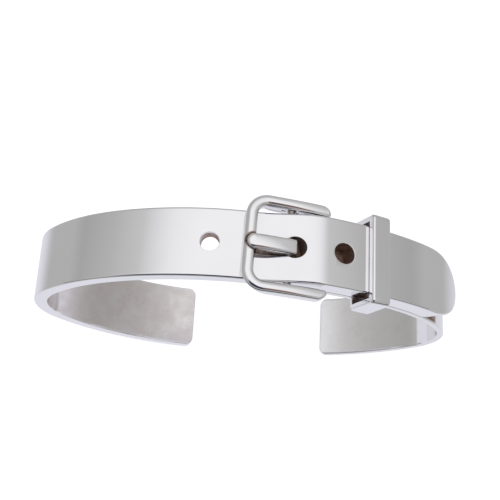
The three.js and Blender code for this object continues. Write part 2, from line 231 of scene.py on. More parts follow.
def buckle_matrix():
    """Axes of the frame and its bar about the hinge, slightly askew on the belt."""
    askew = Matrix.Rotation(math.radians(FRAME_ASKEW), 4, "Z")
    matrix = LEAN_TURN.to_4x4() @ askew @ Matrix.Rotation(math.radians(FRAME_TILT), 4, "Y")
    matrix.translation = HINGE
    return matrix


def tongue_matrix():
    """Axes of the tongue about the hinge, straight along the belt."""
    matrix = Matrix.Rotation(LEAN + math.radians(FRAME_TILT), 4, "Y")
    matrix.translation = HINGE + Vector((0.0, TONGUE_SHIFT, 0.0))
    return matrix


def frame_path(run, across):
    """A point of the frame from its length along the middle line and its distance outward."""
    side = 1.0 if run >= 0.0 else -1.0
    length = abs(run)
    if length <= LEFT_BAR_RUN:
        return FRAME_LEFT + RAIL_WIDTH / 2.0 - across, side * length
    reach = MIDDLE_CORNER + across
    if length <= LEFT_BAR_RUN + CORNER_RUN:
        turn = (length - LEFT_BAR_RUN) / MIDDLE_CORNER
        x = FRAME_LEFT + FRAME_CORNER - reach * math.cos(turn)
        return x, side * (LEFT_BAR_RUN + reach * math.sin(turn))
    x = FRAME_LEFT + FRAME_CORNER + length - LEFT_BAR_RUN - CORNER_RUN
    return x, side * (LEFT_BAR_RUN + reach)


# ---------- layer heights ----------

def ease(value, low, high):
    t = min(1.0, max(0.0, (value - low) / (high - low)))
    return t * t * (3.0 - 2.0 * t)


def belt_top(length):
    return TIP_RISE * ease(length, CLIMB_START, CLIMB_END)


def belt_bottom(length, seam):
    if length < SCARF_START:
        return -BELT_THICK
    rise = SCARF_STEP + (BAND_THICK + LAYER_GAP - SCARF_STEP) * ease(length, SCARF_START, CLIMB_END)
    return rise - BELT_THICK - (LAYER_GAP - seam) / 2.0


def band_top(length, seam):
    return belt_bottom(max(length, SCARF_START), seam) - seam


# ---------- mesh helpers ----------

def box(x, y, z):
    """A box between pairs of x, y and z."""
    bm = bmesh.new()
    size = Matrix.Diagonal((x[1] - x[0], y[1] - y[0], z[1] - z[0], 1.0))
    size.translation = ((x[0] + x[1]) / 2.0, (y[0] + y[1]) / 2.0, (z[0] + z[1]) / 2.0)
    bmesh.ops.create_cube(bm, size=1.0, matrix=size)
    return bm


def rod(radius, depth, matrix, segments=64):
    bm = bmesh.new()
    bmesh.ops.create_cone(
        bm, cap_ends=True, segments=segments, radius1=radius, radius2=radius, depth=depth, matrix=matrix
    )
    return bm


def upright(x, level=0.0):
    return Matrix.Translation((x, 0.0, level))


def crosswise(x, z, askew=0.0):
    turned = Matrix.Rotation(math.radians(askew), 4, "Z") @ Matrix.Rotation(math.pi / 2.0, 4, "X")
    return Matrix.Translation((x, 0.0, z)) @ turned


def round_edges(bm, edges, radius, segments, clamp=True):
    bmesh.ops.bevel(
        bm, geom=edges, offset=radius, offset_type="OFFSET", segments=segments, profile=0.5,
        affect="EDGES", clamp_overlap=clamp, material=-1,
    )


def upright_edges(bm, x_low, x_high):
    """Edges standing along z whose x is between two values."""
    found = []
    for edge in bm.edges:
        first, second = (v.co for v in edge.verts)
        level = abs(first.x - second.x) < 1e-4 and abs(first.y - second.y) < 1e-4
        if level and x_low <= first.x <= x_high:
            found.append(edge)
    return found


def sharp_edges(bm, test=None):
    """Edges whose faces meet at a clear angle, and whose middle passes a test."""
    limit = math.radians(35.0)
    return [
        edge for edge in bm.edges
        if edge.is_manifold and edge.calc_face_angle(0.0) > limit
        and (test is None or test((edge.verts[0].co + edge.verts[1].co) / 2.0))
    ]


def carve(bm, tools, operation="DIFFERENCE"):
    """The mesh after the tools are cut from it or joined to it."""
    objects = []
    for part in [bm, *tools]:
        mesh = bpy.data.meshes.new("carving")
        part.to_mesh(mesh)
        part.free()
        holder = bpy.data.objects.new("carving", mesh)
        bpy.context.scene.collection.objects.link(holder)
        objects.append(holder)
    for tool in objects[1:]:
        modifier = objects[0].modifiers.new("carving", "BOOLEAN")
        modifier.operation = operation
        modifier.object = tool
        modifier.solver = "EXACT"
    bpy.context.view_layer.update()
    evaluated = objects[0].evaluated_get(bpy.context.evaluated_depsgraph_get())
    result = bmesh.new()
    carved = bpy.data.meshes.new_from_object(evaluated)
    result.from_mesh(carved)
    bpy.data.meshes.remove(carved)
    for holder in objects:
        mesh = holder.data
        bpy.data.objects.remove(holder)
        bpy.data.meshes.remove(mesh)
    bmesh.ops.remove_doubles(result, verts=result.verts, dist=1e-4)
    return result


def slice_along(bm, axis, stations):
    """Cuts every face across an axis at each station, so that it can bend."""
    normal = Vector((0.0, 0.0, 0.0))
    normal[axis] = 1.0
    for station in stations:
        geometry = bm.verts[:] + bm.edges[:] + bm.faces[:]
        bmesh.ops.bisect_plane(bm, geom=geometry, dist=1e-4, plane_co=normal * station, plane_no=normal)


def steps(low, high, size):
    count = max(1, round((high - low) / size))
    return [low + (high - low) * i / count for i in range(1, count)]


def mark(bm, tarnish_and_shadow):
    """Stores how tarnished each vertex is, from 0 to 1, and up to 2 where a painted shadow darkens it."""
    layer = bm.verts.layers.float.new("tarnish_and_shadow")
    for vert in bm.verts:
        vert[layer] = tarnish_and_shadow(vert.co)


def make_piece(bm, name, body, nodes, material):
    """A finished object, riding on its body in place of its plain nodes."""
    bmesh.ops.remove_doubles(bm, verts=bm.verts, dist=2e-4)
    bmesh.ops.dissolve_degenerate(bm, edges=bm.edges, dist=2e-4)
    bmesh.ops.recalc_face_normals(bm, faces=bm.faces)
    bmesh.ops.scale(bm, vec=(MM, MM, MM), verts=bm.verts)
    for face in bm.faces:
        face.smooth = True
    mesh = bpy.data.meshes.new(name)
    bm.to_mesh(mesh)
    bm.free()
    mesh.materials.append(material)
    piece = bpy.data.objects.new(name, mesh)
    bpy.context.scene.collection.objects.link(piece)
    weighted = piece.modifiers.new("even shading", "WEIGHTED_NORMAL")
    weighted.mode = "FACE_AREA"
    weighted.weight = 60
    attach(piece, body)
    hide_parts(*nodes)
    return piece


# ---------- materials ----------

# Places of the factor, the two colours and the result on a mix node set to colours.
MIX_COLOUR_INPUTS = (0, 6, 7)
MIX_COLOUR_OUTPUT = 2
# Near-black colour of the painted shadow where the tongue's tip rests on the frame.
PAINTED_SHADOW_COLOUR = (0.02, 0.02, 0.022, 1.0)
DULL_SILVER = (0.86, 0.85, 0.85, 1.0)


def link(tree, source, target):
    tree.links.new(source, target)


def smooth_mask(tree, source, low, high):
    """0 to 1 as a value goes from low to high, with soft ends."""
    node = tree.nodes.new("ShaderNodeMapRange")
    node.interpolation_type = "SMOOTHSTEP"
    node.inputs["From Min"].default_value = low
    node.inputs["From Max"].default_value = high
    link(tree, source, node.inputs["Value"])
    return node.outputs["Result"]


def mixed(tree, factor, first, second):
    """A colour between two others, each given as a socket or as a fixed colour."""
    node = tree.nodes.new("ShaderNodeMix")
    node.data_type = "RGBA"
    factor_in, first_in, second_in = (node.inputs[i] for i in MIX_COLOUR_INPUTS)
    link(tree, factor, factor_in)
    for socket, value in ((first_in, first), (second_in, second)):
        if isinstance(value, tuple):
            socket.default_value = value
        else:
            link(tree, value, socket)
    return node.outputs[MIX_COLOUR_OUTPUT]


def silver_wear_and_shadow_group():
    """Shared wear and painted shadow for silver: cloudy polish, fine scratches, tarnish, a near-black
    painted shadow and pitted hollows.
    """
    found = bpy.data.node_groups.get("silver_wear_and_shadow")
    if found:
        return found
    group = bpy.data.node_groups.new("silver_wear_and_shadow", "ShaderNodeTree")
    for name, kind, value in (
        ("Vector", "NodeSocketVector", None),
        ("Silver", "NodeSocketColor", (0.93, 0.93, 0.94, 1.0)),
        ("Tarnish", "NodeSocketColor", (0.12, 0.08, 0.06, 1.0)),
        ("Tarnish and shadow", "NodeSocketFloat", 0.0),
        ("Patches", "NodeSocketFloat", 0.0),
        ("Polish", "NodeSocketFloat", 0.04),
    ):
        socket = group.interface.new_socket(name=name, in_out="INPUT", socket_type=kind)
        if value is not None:
            socket.default_value = value
    for name, kind in (
        ("Color", "NodeSocketColor"),
        ("Roughness", "NodeSocketFloat"),
        ("Height", "NodeSocketFloat"),
    ):
        group.interface.new_socket(name=name, in_out="OUTPUT", socket_type=kind)
    nodes = group.nodes
    entry = nodes.new("NodeGroupInput")
    leave = nodes.new("NodeGroupOutput")

    def noise(scale, detail, roughness=0.5):
        node = nodes.new("ShaderNodeTexNoise")
        node.inputs["Scale"].default_value = scale
        node.inputs["Detail"].default_value = detail
        node.inputs["Roughness"].default_value = roughness
        return node

    def remap(source, low, high, out_low, out_high):
        node = nodes.new("ShaderNodeMapRange")
        node.inputs["From Min"].default_value = low
        node.inputs["From Max"].default_value = high
        node.inputs["To Min"].default_value = out_low
        node.inputs["To Max"].default_value = out_high
        link(group, source, node.inputs["Value"])
        return node.outputs["Result"]

    def math_node(operation, first, second):
        node = nodes.new("ShaderNodeMath")
        node.operation = operation
        for index, value in enumerate((first, second)):
            if isinstance(value, (int, float)):
                node.inputs[index].default_value = value
            else:
                link(group, value, node.inputs[index])
        return node.outputs["Value"]

    cloud = noise(140.0, 3.0)
    link(group, entry.outputs["Vector"], cloud.inputs["Vector"])
    cloud_mask = remap(cloud.outputs["Fac"], 0.35, 0.7, 0.0, 1.0)
    stretch = nodes.new("ShaderNodeMapping")
    stretch.inputs["Scale"].default_value = (0.12, 1.0, 0.12)
    stretch.inputs["Rotation"].default_value = (0.0, 0.0, 0.12)
    link(group, entry.outputs["Vector"], stretch.inputs["Vector"])
    scratches = noise(5200.0, 2.0, 0.6)
    link(group, stretch.outputs["Vector"], scratches.inputs["Vector"])
    scratch_mask = remap(scratches.outputs["Fac"], 0.62, 0.75, 0.0, 1.0)
    pits = noise(2600.0, 3.0, 0.7)
    link(group, entry.outputs["Vector"], pits.inputs["Vector"])
    stain = noise(420.0, 4.0, 0.6)
    link(group, entry.outputs["Vector"], stain.inputs["Vector"])

    rub = remap(stain.outputs["Fac"], 0.3, 0.6, 0.55, 1.0)
    rubbed = math_node("MULTIPLY", math_node("MINIMUM", entry.outputs["Tarnish and shadow"], 1.0), rub)
    # Painted shadow: above 1 the stored value turns the colour near black, speckled by the pits, where the
    # tongue's tip rests on the frame.
    painted_shadow = math_node("MAXIMUM", math_node("SUBTRACT", entry.outputs["Tarnish and shadow"], 1.0), 0.0)
    painted_shadow = math_node("MULTIPLY", painted_shadow, remap(pits.outputs["Fac"], 0.4, 0.55, 0.6, 1.0))
    blotch = remap(stain.outputs["Fac"], 0.48, 0.7, 0.0, 1.0)
    patchy = math_node("MULTIPLY", entry.outputs["Patches"], blotch)
    dark = math_node("MAXIMUM", rubbed, patchy)
    dulled = mixed(group, remap(cloud_mask, 0.0, 1.0, 0.0, 0.35), entry.outputs["Silver"], DULL_SILVER)
    colour = mixed(group, dark, dulled, entry.outputs["Tarnish"])
    colour = mixed(group, painted_shadow, colour, PAINTED_SHADOW_COLOUR)
    link(group, colour, leave.inputs["Color"])

    rough = math_node("ADD", entry.outputs["Polish"], remap(cloud_mask, 0.0, 1.0, 0.0, 0.035))
    rough = math_node("ADD", rough, math_node("MULTIPLY", scratch_mask, 0.05))
    rough = math_node("ADD", rough, math_node("MULTIPLY", dark, 0.6))
    link(group, rough, leave.inputs["Roughness"])

    wave = noise(230.0, 1.0)
    link(group, entry.outputs["Vector"], wave.inputs["Vector"])
    height = math_node("MULTIPLY", wave.outputs["Fac"], 0.35)
    height = math_node("SUBTRACT", height, math_node("MULTIPLY", scratch_mask, 0.012))
    deep = math_node("MULTIPLY", pits.outputs["Fac"], math_node("MULTIPLY", entry.outputs["Tarnish and shadow"], 0.4))
    height = math_node("ADD", height, deep)
    link(group, height, leave.inputs["Height"])
    return group


def silver_material(name, silver, tarnish, polish, patches, relief):
    """Polished silver with its own tone, wear, painted shadow and relief."""
    material = bpy.data.materials.new(name)
    material.use_nodes = True
    tree = material.node_tree
    shader = tree.nodes["Principled BSDF"]
    shader.inputs["Metallic"].default_value = 1.0
    coordinates = tree.nodes.new("ShaderNodeTexCoord")
    tarnish_and_shadow = tree.nodes.new("ShaderNodeAttribute")
    tarnish_and_shadow.attribute_name = "tarnish_and_shadow"
    wear_and_shadow = tree.nodes.new("ShaderNodeGroup")
    wear_and_shadow.node_tree = silver_wear_and_shadow_group()
    wear_and_shadow.inputs["Silver"].default_value = (*silver, 1.0)
    wear_and_shadow.inputs["Tarnish"].default_value = (*tarnish, 1.0)
    wear_and_shadow.inputs["Polish"].default_value = polish
    wear_and_shadow.inputs["Patches"].default_value = patches
    link(tree, coordinates.outputs["Object"], wear_and_shadow.inputs["Vector"])
    link(tree, tarnish_and_shadow.outputs["Fac"], wear_and_shadow.inputs["Tarnish and shadow"])
    bump = tree.nodes.new("ShaderNodeBump")
    bump.inputs["Strength"].default_value = 1.0
    bump.inputs["Distance"].default_value = relief
    link(tree, wear_and_shadow.outputs["Height"], bump.inputs["Height"])
    link(tree, wear_and_shadow.outputs["Color"], shader.inputs["Base Color"])
    link(tree, wear_and_shadow.outputs["Roughness"], shader.inputs["Roughness"])
    link(tree, bump.outputs["Normal"], shader.inputs["Normal"])
    return material


# ---------- settings ----------

class BeltCuffSizes(bpy.types.PropertyGroup):
    """Sizes of the edges and seams"""

    belt_edge: FloatProperty(
        name="Belt edge", description="Rounding of the belt's long edges",
        default=0.00034, min=0.00005, max=0.0005, precision=5, unit="LENGTH",
    )
    hole_edge: FloatProperty(
        name="Hole edge", description="Rounding of the rims of the holes",
        default=0.00014, min=0.00004, max=0.0003, precision=5, unit="LENGTH",
    )
    frame_edge: FloatProperty(
        name="Frame edge", description="Rounding of the buckle frame's edges",
        default=0.00044, min=0.0001, max=0.0007, precision=5, unit="LENGTH",
    )
    tongue_edge: FloatProperty(
        name="Tongue edge", description="Rounding of the tongue's edges",
        default=0.00042, min=0.0001, max=0.0005, precision=5, unit="LENGTH",
    )
    keeper_edge: FloatProperty(
        name="Keeper edge", description="Rounding of the keeper's edges",
        default=0.00036, min=0.00005, max=0.0004, precision=5, unit="LENGTH",
    )
    seam: FloatProperty(
        name="Seam", description="Gap left between the soldered layers",
        default=0.00005, min=0.00002, max=0.00015, precision=5, unit="LENGTH",
    )


class BeltCuffFinish(bpy.types.PropertyGroup):
    """Colours and finish of the silver and the stage"""

    silver: FloatVectorProperty(
        name="Silver", description="Colour of the polished silver",
        default=(0.925, 0.92, 0.93), size=3, min=0.0, max=1.0, subtype="COLOR",
    )
    worn: FloatVectorProperty(
        name="Worn silver", description="Colour of the inner band's silver",
        default=(0.88, 0.875, 0.875), size=3, min=0.0, max=1.0, subtype="COLOR",
    )
    tarnish: FloatVectorProperty(
        name="Tarnish", description="Colour of the tarnish in the hollows",
        default=(0.40, 0.27, 0.21), size=3, min=0.0, max=1.0, subtype="COLOR",
    )
    polish: FloatProperty(
        name="Polish", description="Roughness of the polished faces",
        default=0.045, min=0.0, max=0.5, subtype="FACTOR",
    )
    relief: FloatProperty(
        name="Relief", description="Depth of the fine waviness and scratches",
        default=0.0000025, min=0.0, max=0.0001, precision=7, unit="LENGTH",
    )
    floor: FloatVectorProperty(
        name="Floor", description="Colour of the pale floor",
        default=(0.82, 0.82, 0.83), size=3, min=0.0, max=1.0, subtype="COLOR",
    )


def sizes():
    return bpy.context.scene.belt_cuff_sizes


def finish():
    return bpy.context.scene.belt_cuff_finish


def polished():
    found = bpy.data.materials.get("polished silver")
    look = finish()
    return found or silver_material(
        "polished silver", look.silver, look.tarnish, look.polish, 0.0, look.relief
    )


def worn():
    found = bpy.data.materials.get("worn silver")
    look = finish()
    return found or silver_material(
        "worn silver", look.worn, look.tarnish, look.polish + 0.03, 0.08, 1.5 * look.relief
    )


# ---------- belt pieces ----------

def in_slot(point):
    """How far inside the keyhole and its slot a point lies, in millimetres."""
    round_part = KEYHOLE[1] - math.hypot(point.x - KEYHOLE[0], point.y)
    inside = SLOT_END <= point.x <= KEYHOLE[0]
    slot_part = min(point.x - SLOT_END, SLOT_HALF_WIDTH - abs(point.y)) if inside else -1.0
    return max(round_part, slot_part)


def in_hole(point, margin):
    """Whether a point lies on or inside the wall of one of the holes."""
    for at, radius in (LEFT_HOLE, RIGHT_HOLE):
        if math.hypot(point.x - at, point.y) < radius + margin:
            return True
    return in_slot(point) > -margin


class BELTCUFF_OT_belt(bpy.types.Operator):
    """Make the belt strap, with its holes, keyhole slot and rounded tip"""

    bl_idname = "belt_cuff.belt"
    bl_label = "Belt strap"

    def execute(self, context):
        edge = sizes().belt_edge / MM
        rim = sizes().hole_edge / MM
        seam = sizes().seam / MM
        half = BELT_WIDTH / 2.0
        square_tip = TIP_END - half
        bm = box((LEFT_END, TIP_END), (-half, half), (0.0, BELT_THICK))
        round_edges(bm, upright_edges(bm, LEFT_END - 1.0, LEFT_END + 1.0), END_CORNER, 8)
        round_edges(bm, upright_edges(bm, TIP_END - 1.0, TIP_END + 1.0), half - 0.02, 20)
        tip = [v for v in bm.verts if v.co.x > square_tip - 0.1]
        stretch = (TIP_END - TIP_START) / half
        bmesh.ops.scale(
            bm, vec=(stretch, 1.0, 1.0), verts=tip, space=Matrix.Translation((-TIP_END, 0.0, 0.0))
        )
        round_edges(bm, sharp_edges(bm, lambda p: p.z > BELT_THICK - 0.2), edge, 6, False)
        round_edges(bm, sharp_edges(bm, lambda p: p.z < 0.2), 0.16, 3, False)
        slot = box((SLOT_END, KEYHOLE[0]), (-SLOT_HALF_WIDTH, SLOT_HALF_WIDTH), (-1.0, 3.0))
        holes = [rod(r, 6.0, upright(x)) for x, r in (LEFT_HOLE, RIGHT_HOLE, KEYHOLE)]
        bm = carve(bm, [slot, *holes])
        faces = (lambda p: in_hole(p, 0.02) and abs(p.z - BELT_THICK / 2.0) > BELT_THICK / 2.0 - 0.01)
        round_edges(bm, sharp_edges(bm, faces), rim, 3)
        channel = box(
            (HINGE_AT - CHANNEL_HALF, HINGE_AT + CHANNEL_HALF),
            (-half - 1.0, half + 1.0), (-1.0, GROOVE_LEVEL),
        )
        groove = rod(GROOVE_RADIUS, 3.0 * half, crosswise(HINGE_AT, GROOVE_LEVEL, FRAME_ASKEW))
        bm = carve(bm, [channel, groove])
        slice_along(bm, 2, (0.5, 1.0, 1.5))
        slice_along(bm, 1, (0.4 - half, -1.0, 1.0, half - 0.4))
        slice_along(bm, 0, (SCARF_START - 0.01, SCARF_START + 0.01))
        slice_along(bm, 0, steps(LEFT_END, TIP_END, 0.5))

        def tarnish_and_shadow(point):
            inside = ease(in_slot(point) + 0.3, 0.2, 0.3) if in_slot(point) > -0.3 else 0.0
            for at, radius in (LEFT_HOLE, RIGHT_HOLE):
                inside = max(inside, ease(radius + 0.1 - math.hypot(point.x - at, point.y), 0.0, 0.1))
            depth = ease(BELT_THICK - point.z, 0.12, 0.4)
            inner_face = 1.0 if point.z < 0.02 and abs(point.y) < half - 0.3 else 0.0
            hidden = inner_face if point.x > SCARF_START else 0.0
            stained = STAINED * inner_face * ease(-point.x, 38.0, 46.0)
            return max(inside * depth, hidden, stained)

        mark(bm, tarnish_and_shadow)
        for vert in bm.verts:
            length, across, level = vert.co
            if level > BELT_THICK / 2.0:
                height = belt_top(length) - (BELT_THICK - level)
            else:
                height = belt_bottom(length, seam) + level
            vert.co = place(length, across, height)
        make_piece(bm, "belt", "cuff", ["belt_strap"], polished())
        return {"FINISHED"}


class BELTCUFF_OT_band(bpy.types.Operator):
    """Make the inner band that the belt's tip lies on, with its saddle for the hinge bar"""

    bl_idname = "belt_cuff.band"
    bl_label = "Inner band"

    def execute(self, context):
        seam = sizes().seam / MM
        half = BELT_WIDTH / 2.0
        start = SCARF_START + seam
        bm = box((start, RIGHT_END), (-half, half), (0.0, BAND_THICK))
        round_edges(bm, upright_edges(bm, RIGHT_END - 1.0, RIGHT_END + 1.0), END_CORNER, 8)
        round_edges(bm, sharp_edges(bm, lambda p: not 0.2 < p.z < BAND_THICK - 0.2), 0.12, 3)
        saddle = box((HINGE_AT - SADDLE_HALF, HINGE_AT + SADDLE_HALF), (-half, half), (0.4, SADDLE_TOP))
        bm = carve(bm, [saddle], "UNION")
        room = box(
            (HINGE_AT - TONGUE_ROOM[0], HINGE_AT + TONGUE_ROOM[0]),
            (-SLOT_HALF_WIDTH, SLOT_HALF_WIDTH), (TONGUE_ROOM[1], 4.0),
        )
        groove = rod(GROOVE_RADIUS, 3.0 * half, crosswise(HINGE_AT, BAND_GROOVE_LEVEL, FRAME_ASKEW))
        bm = carve(bm, [room, groove])
        slice_along(bm, 1, (0.4 - half, -SLOT_HALF_WIDTH, SLOT_HALF_WIDTH, half - 0.4))
        slice_along(bm, 0, steps(start, RIGHT_END, 0.5))

        def tarnish_and_shadow(point):
            under_tip = point.x < TIP_END - 1.5 and abs(point.y) < half - 0.3
            covered = under_tip and point.z > BAND_THICK - 0.05
            in_room = abs(point.x - HINGE_AT) < TONGUE_ROOM[0] + 0.05 and point.z > TONGUE_ROOM[1] - 0.05
            return 1.0 if covered or (in_room and abs(point.y) < SLOT_HALF_WIDTH + 0.05) else 0.0

        mark(bm, tarnish_and_shadow)
        for vert in bm.verts:
            length, across, level = vert.co
            if level > BAND_THICK / 2.0:
                height = band_top(length, seam) - (BAND_THICK - level)
            else:
                height = level - BELT_THICK
            vert.co = place(length, across, height)
        make_piece(bm, "band", "cuff", ["inner_band"], worn())
        return {"FINISHED"}


class BELTCUFF_OT_keeper(bpy.types.Operator):
    """Make the keeper loop round the belt and the band"""

    bl_idname = "belt_cuff.keeper"
    bl_label = "Keeper loop"

    def execute(self, context):
        edge = sizes().keeper_edge / MM
        seam = sizes().seam / MM
        inner_low = -BELT_THICK - seam
        inner_high = TIP_RISE + seam
        outer_low = -BELT_THICK - LAYER_GAP - KEEPER_FLOOR
        outer_high = TIP_RISE + LAYER_GAP + KEEPER_WALL
        half_length = KEEPER_LENGTH / 2.0
        inner_half = KEEPER_HALF_WIDTH - KEEPER_WALL
        outer_half = KEEPER_HALF_WIDTH
        bm = box((-half_length, half_length), (-outer_half, outer_half), (outer_low, outer_high))
        along = [e for e in bm.edges if abs(e.verts[0].co.x - e.verts[1].co.x) > 1.0]
        round_edges(bm, along, KEEPER_CORNER, 8)
        through = 2.0 * half_length
        hollow = box((-through, through), (-inner_half, inner_half), (inner_low, inner_high))
        bm = carve(bm, [hollow])

        def mouth(point):
            return abs(point.y) < inner_half + 0.01 and inner_low - 0.01 < point.z < inner_high + 0.01

        ends = (lambda p: abs(abs(p.x) - half_length) < 1e-3)
        round_edges(bm, sharp_edges(bm, lambda p: ends(p) and not mouth(p)), edge, 6, False)
        round_edges(bm, sharp_edges(bm, lambda p: ends(p) and mouth(p)), 0.1, 3, False)
        slice_along(bm, 1, steps(-KEEPER_HALF_WIDTH, KEEPER_HALF_WIDTH, 0.8))

        def tarnish_and_shadow(point):
            across = abs(point.y) < inner_half + 0.01
            level = inner_low - 0.01 < point.z < inner_high + 0.01
            return HOLLOW if across and level else 0.0

        mark(bm, tarnish_and_shadow)
        bmesh.ops.transform(bm, matrix=belt_matrix(KEEPER_AT), verts=bm.verts)
        make_piece(bm, "keeper", "cuff", ["keeper_loop"], polished())
        return {"FINISHED"}


# ---------- buckle pieces ----------

class BELTCUFF_OT_frame(bpy.types.Operator):
    """Make the buckle frame, open towards the belt's tip, with arched rails"""

    bl_idname = "belt_cuff.frame"
    bl_label = "Buckle frame"

    def execute(self, context):
        edge = sizes().frame_edge / MM
        half = RAIL_WIDTH / 2.0
        total = 2.0 * (RAIL_RUN + CORNER_RUN + LEFT_BAR_RUN)
        bm = box((-total / 2.0, total / 2.0), (-half, half), (FRAME_BOTTOM, FRAME_TOP))
        outer = [e for e in upright_edges(bm, -total, total) if e.verts[0].co.y > 0.0]
        round_edges(bm, outer, RAIL_END_CORNER, 14)
        round_edges(bm, sharp_edges(bm), edge, 8, False)
        slice_along(bm, 0, steps(-total / 2.0, total / 2.0, 0.25))
        slice_along(bm, 1, (-0.4, 0.0, 0.4))
        middle = (FRAME_BOTTOM + FRAME_TOP) / 2.0
        for vert in bm.verts:
            run, across, level = vert.co
            slant = RAIL_END_SLANT * (0.5 + 0.5 * across / half) ** 2
            slant *= ease(abs(run), total / 2.0 - RAIL_END_REACH, total / 2.0)
            run -= math.copysign(slant, run)
            if across > 0.0:
                across *= 1.0 - FRAME_UNDERCUT * (1.0 - ease(level, FRAME_BOTTOM, FRAME_TOP - 0.6))
            x, y = frame_path(run, across)
            z = level
            if level < middle:
                bar_edge = FRAME_LEFT + LEFT_BAR_WIDTH
                rise = 1.0 - ease(x, bar_edge - 0.4, bar_edge + 2.4)
                z += (LEFT_BAR_BOTTOM - FRAME_BOTTOM) * rise
            else:
                arch = (FRAME_LEFT * FRAME_LEFT - x * x) / (2.0 * FRAME_ARCH)
                dome = FRAME_LEFT_DOME + (FRAME_RIGHT_DOME - FRAME_LEFT_DOME) * ease(x, -3.0, 3.0)
                z += (arch - dome * (across / half) ** 2) * (level - middle) / (FRAME_TOP - middle)
            vert.co = (x, y * (1.0 - FRAME_TAPER * (x - FRAME_LEFT) / FRAME_HALF_WIDTH), z)

        def tarnish_and_shadow(point):
            along = max(0.0, point.x - TONGUE_TIP - TONGUE_HALF_WIDTH)
            if point.x < TONGUE_TIP + TONGUE_HALF_WIDTH:
                along = point.x - TONGUE_TIP - TONGUE_HALF_WIDTH
            ring = math.hypot(along, point.y - TONGUE_SHIFT)
            # Painted shadow: a near-black ring on the frame's top round the tongue's tip, where the tip
            # rests.
            near = (1.0 - ease(ring, TONGUE_HALF_WIDTH, TONGUE_HALF_WIDTH + 0.3)) * ease(point.z, 0.9, 1.2)
            low = 0.35 if point.z < FRAME_BOTTOM + 0.2 else 0.0
            return max(low, PAINTED_SHADOW_LEVEL * near)

        mark(bm, tarnish_and_shadow)
        bmesh.ops.transform(bm, matrix=buckle_matrix(), verts=bm.verts)
        make_piece(bm, "frame", "buckle", ["buckle_frame"], polished())
        return {"FINISHED"}


class BELTCUFF_OT_bar(bpy.types.Operator):
    """Make the hinge bar across the buckle"""

    bl_idname = "belt_cuff.bar"
    bl_label = "Centre bar"

    def execute(self, context):
        bm = rod(BAR_RADIUS, 2.0 * BAR_HALF_LENGTH, crosswise(0.0, 0.0), 48)
        round_edges(bm, sharp_edges(bm), 0.08, 2)
        slice_along(bm, 1, steps(-BAR_HALF_LENGTH, BAR_HALF_LENGTH, 0.8))
        mark(bm, lambda point: 0.5 * ease(abs(point.y), 1.2, 1.6))
        bmesh.ops.transform(bm, matrix=buckle_matrix(), verts=bm.verts)
        make_piece(bm, "hinge_bar", "buckle", ["centre_bar"], worn())
        return {"FINISHED"}


class BELTCUFF_OT_tongue(bpy.types.Operator):
    """Make the tongue, with its eye round the bar and its tip on the frame"""

    bl_idname = "belt_cuff.tongue"
    bl_label = "Tongue"

    def execute(self, context):
        edge = sizes().tongue_edge / MM
        half = TONGUE_HALF_WIDTH
        rest = FRAME_TOP + TONGUE_REST_GAP
        bm = box((TONGUE_TIP, TONGUE_HEEL), (-half, half), (0.0, 1.0))
        round_edges(bm, upright_edges(bm, TONGUE_TIP - 0.1, TONGUE_TIP + 0.1), half - 0.02, 14)
        top = sharp_edges(bm, lambda p: p.z > 0.99 and p.x < TONGUE_HEEL - 0.1)
        round_edges(bm, top, edge, 8, False)
        round_edges(bm, sharp_edges(bm, lambda p: p.x > TONGUE_HEEL - 0.1), 0.2, 4)
        slice_along(bm, 0, steps(TONGUE_TIP, TONGUE_HEEL, 0.25))
        slice_along(bm, 1, (-0.3, 0.0, 0.3))
        for vert in bm.verts:
            x, y, z = vert.co
            along = (x - TONGUE_TIP) / (TONGUE_HEEL - TONGUE_TIP)
            crown = TONGUE_TOP + (TONGUE_HEEL_TOP - TONGUE_TOP) * along
            crown += TONGUE_ARCH * along * (1.0 - along)
            crown -= TONGUE_DOME * (y / half) ** 2 * (1.0 - ease(along, 0.5, 0.9))
            crown -= TONGUE_TIP_DROP * (1.0 - ease(along, 0.0, 0.14))
            low = rest + (EYE_OUTER * 0.1 - rest) * ease(x, -4.6, -0.9)
            if z > 0.5:
                vert.co.z = crown - (1.0 - z) * min(1.0, 0.9 + 0.5 * along)
            else:
                vert.co.z = low + 0.3 * z
        eye = rod(EYE_OUTER, 2.0 * half - 0.1, crosswise(0.0, 0.0))
        bm = carve(bm, [eye], "UNION")
        bm = carve(bm, [rod(EYE_INNER, 8.0, crosswise(0.0, 0.0, FRAME_ASKEW))])

        def tarnish_and_shadow(point):
            foot = 1.0 - ease(point.z, 0.3, 1.3)
            side = 0.7 * ease(abs(point.y), half - 0.12, half - 0.03) * (1.0 - ease(point.z, 1.5, 2.0))
            # Painted shadow on the low part of the tongue's tip, where it rests on the frame.
            tip = PAINTED_SHADOW_LEVEL * (1.0 - ease(point.z, rest + 0.15, rest + 0.5)) if point.x < -4.9 else 0.0
            return max(HOLLOW * foot, side, tip)

        mark(bm, tarnish_and_shadow)
        bmesh.ops.transform(bm, matrix=tongue_matrix(), verts=bm.verts)
        make_piece(bm, "tongue", "tongue", ["buckle_tongue"], polished())
        return {"FINISHED"}


# ---------- stage ----------

NEAR_GLOW = (0.76, 0.76, 0.83, 1.0)
FAR_GLOW = (0.46, 0.455, 0.455, 1.0)
FRONT_GLOW = (0.05, 0.055, 0.075, 1.0)
DARK_BLUE = (0.03, 0.04, 0.07, 1.0)
DARK_BROWN = (0.22, 0.14, 0.12, 1.0)
WHITE = (1.0, 1.0, 1.0, 1.0)
# The sky's brightness by height, as the sine of the angle above the horizon.
LOWEST = -0.2
SKY = (
    (LOWEST, 0.46), (0.0, 0.46), (0.16, 0.40), (0.5, 0.47),
    (0.70, 0.58), (0.78, 0.74), (0.85, 0.87), (0.92, 0.94),
)
WARM_GREY = (1.0, 0.99, 0.985)
COOL_WHITE = (0.985, 0.98, 1.0)
COOL_FROM = 0.7


